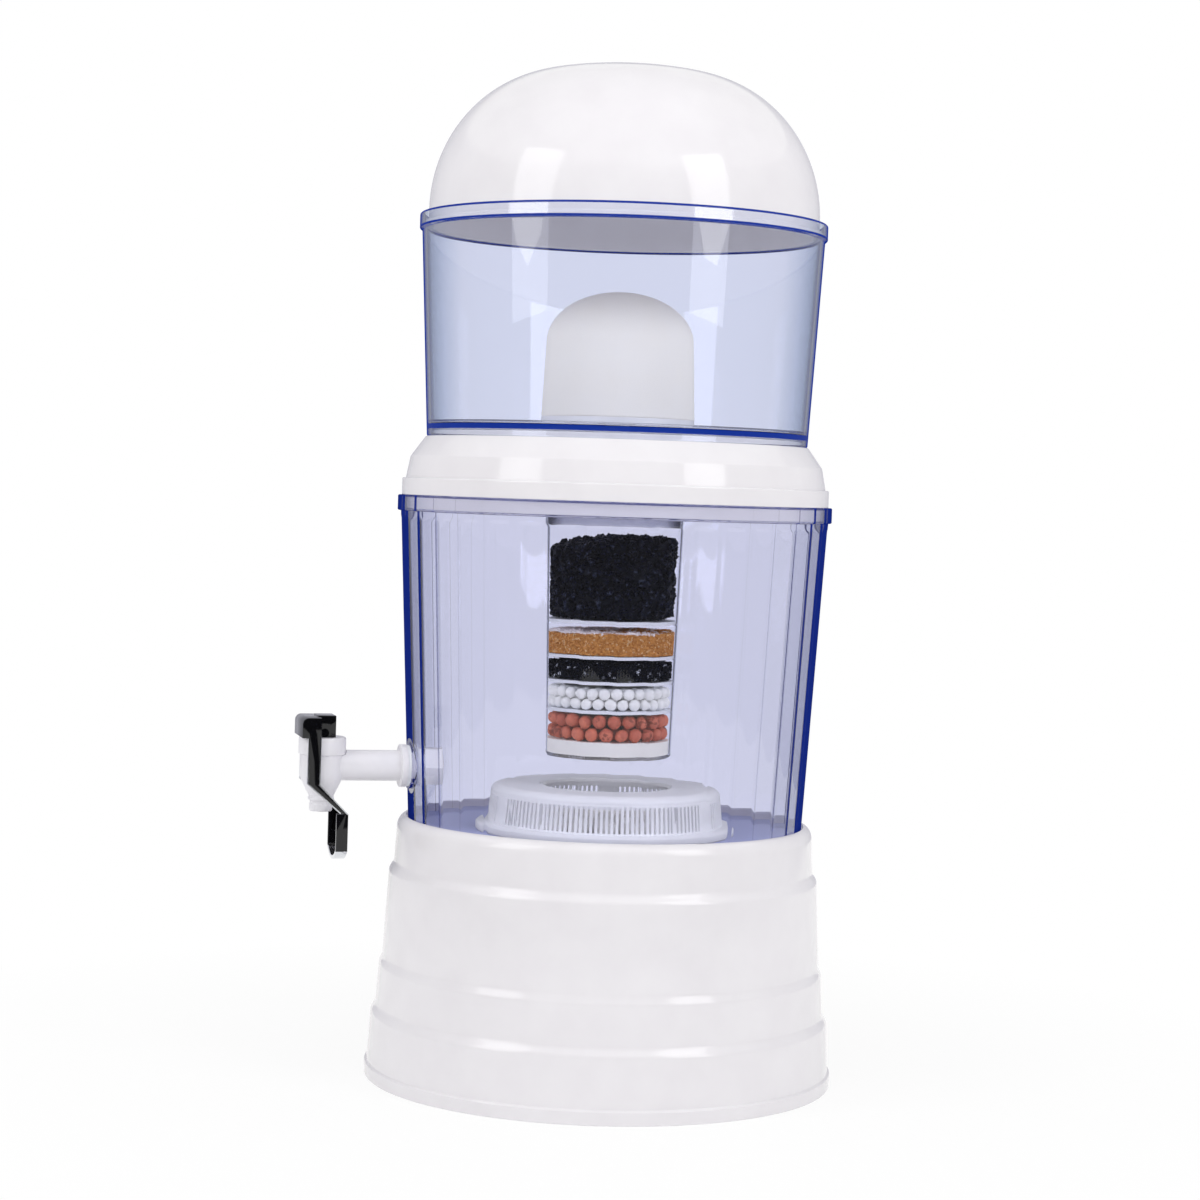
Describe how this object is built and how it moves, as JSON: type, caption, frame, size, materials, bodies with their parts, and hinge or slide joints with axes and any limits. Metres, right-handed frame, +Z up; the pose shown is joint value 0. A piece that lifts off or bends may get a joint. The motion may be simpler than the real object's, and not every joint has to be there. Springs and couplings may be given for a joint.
{
  "type": "gravity water filter with tap",
  "caption": "Stacked gravity water filter: stepped stand, facetted lower tank with a push-back tap, collar, upper tank with ceramic dome and media cartridge, and a domed lid.",
  "frame": {"origin": "centre of the stand's foot ring, in the plane that stands on the table", "axes": "+Z up along the common axis of the stand, tanks and lid; -Y towards the tap; +X to the right of a person who faces the tap's back from the tank's axis"},
  "size_m": [0.2732, 0.3184, 0.5891],
  "materials": {
    "shell_white": "gloss, injection moulded",
    "lower_tint": "clear violet-blue moulded plastic",
    "upper_tint": "clear blue moulded plastic",
    "tap_white": "semi-gloss, moulded",
    "silicone": "soft satin silicone",
    "spring_steel": "drawn stainless wire",
    "lever_black": "high gloss",
    "lever_bright": "plated",
    "frosted_white": "frosted, translucent white",
    "grey_stone": "natural stone, unpolished",
    "ceramic": "fired porous ceramic",
    "cap_grey": "translucent grey plastic",
    "cartridge_clear": "clear moulded plastic",
    "fibre_pad": "bonded fibre",
    "red_ceramic": "fired clay",
    "white_ceramic": "fired clay",
    "sieve_white": "moulded",
    "black_mineral": "crushed mineral grains",
    "mineral_sand": "fine grains",
    "carbon": "crushed grains"
  },
  "bodies": {
    "stand": {"stand_base": "shell_white"},
    "lower_unit": {"lower_tank": "lower_tint", "tap_body": "tap_white", "tap_gasket_outer": "silicone", "tap_gasket_inner": "silicone", "tap_nut": "tap_white", "tap_bonnet": "tap_white", "seat_cup": "silicone", "valve_spring": "spring_steel"},
    "stem": {"valve_stem": "tap_white"},
    "lever": {"tap_lever": "lever_black", "lever_trim": "lever_bright", "lever_tip": "lever_bright", "lever_pin": "spring_steel"},
    "case": {"stone_case": "frosted_white", "mineral_stones": "grey_stone"},
    "case_cover": {"stone_case_lid": "frosted_white"},
    "collar_ring": {"collar": "shell_white"},
    "upper_unit": {"upper_tank": "upper_tint", "ceramic_dome": "ceramic", "dome_plate": "tap_white", "floor_gasket_top": "silicone", "floor_gasket_under": "silicone", "floor_nut": "tap_white", "cap_seal": "silicone", "cartridge_cap": "cap_grey", "ring_seal": "silicone", "cartridge_case": "cartridge_clear", "bottom_pad": "fibre_pad", "red_balls": "red_ceramic", "separator_red": "sieve_white", "white_balls": "white_ceramic", "separator_white": "sieve_white", "black_bed": "black_mineral", "separator_black": "sieve_white", "sand_bed": "mineral_sand", "separator_sand": "sieve_white", "carbon_bed": "carbon"},
    "lid": {"dome_lid": "shell_white"}
  },
  "joints": [
    {"name": "tank_lift", "type": "slide", "parent": "stand", "child": "lower_unit", "axis": [0, 0, 1], "range_m": [0, 0.06]},
    {"name": "valve_lift", "type": "slide", "parent": "lower_unit", "child": "stem", "axis": [0, 0, 1], "range_m": [0, 0.0035], "deforming": ["valve_spring", "seat_cup"]},
    {"name": "lever_push", "type": "hinge", "parent": "stem", "child": "lever", "pos_m": [0, -0.16796, 0.2004], "axis": [1, 0, 0], "range_deg": [0, 15], "stiffness_Nm_per_rad": 0.32, "springref_deg": -25.78},
    {"name": "stone_case_lift", "type": "slide", "parent": "lower_unit", "child": "case", "axis": [0, 0, 1], "range_m": [0, 0.01]},
    {"name": "stone_lid_lift", "type": "slide", "parent": "case", "child": "case_cover", "axis": [0, 0, 1], "range_m": [0, 0.01]},
    {"name": "collar_lift", "type": "slide", "parent": "lower_unit", "child": "collar_ring", "axis": [0, 0, 1], "range_m": [0, 0.04]},
    {"name": "upper_tank_lift", "type": "slide", "parent": "collar_ring", "child": "upper_unit", "axis": [0, 0, 1], "range_m": [0, 0.2]},
    {"name": "lid_lift", "type": "slide", "parent": "upper_unit", "child": "lid", "axis": [0, 0, 1], "range_m": [0, 0.1]}
  ],
  "couplings": [
    {"joint": "valve_lift", "follows": "lever_push", "m_per_rad": 0.0132}
  ]
}
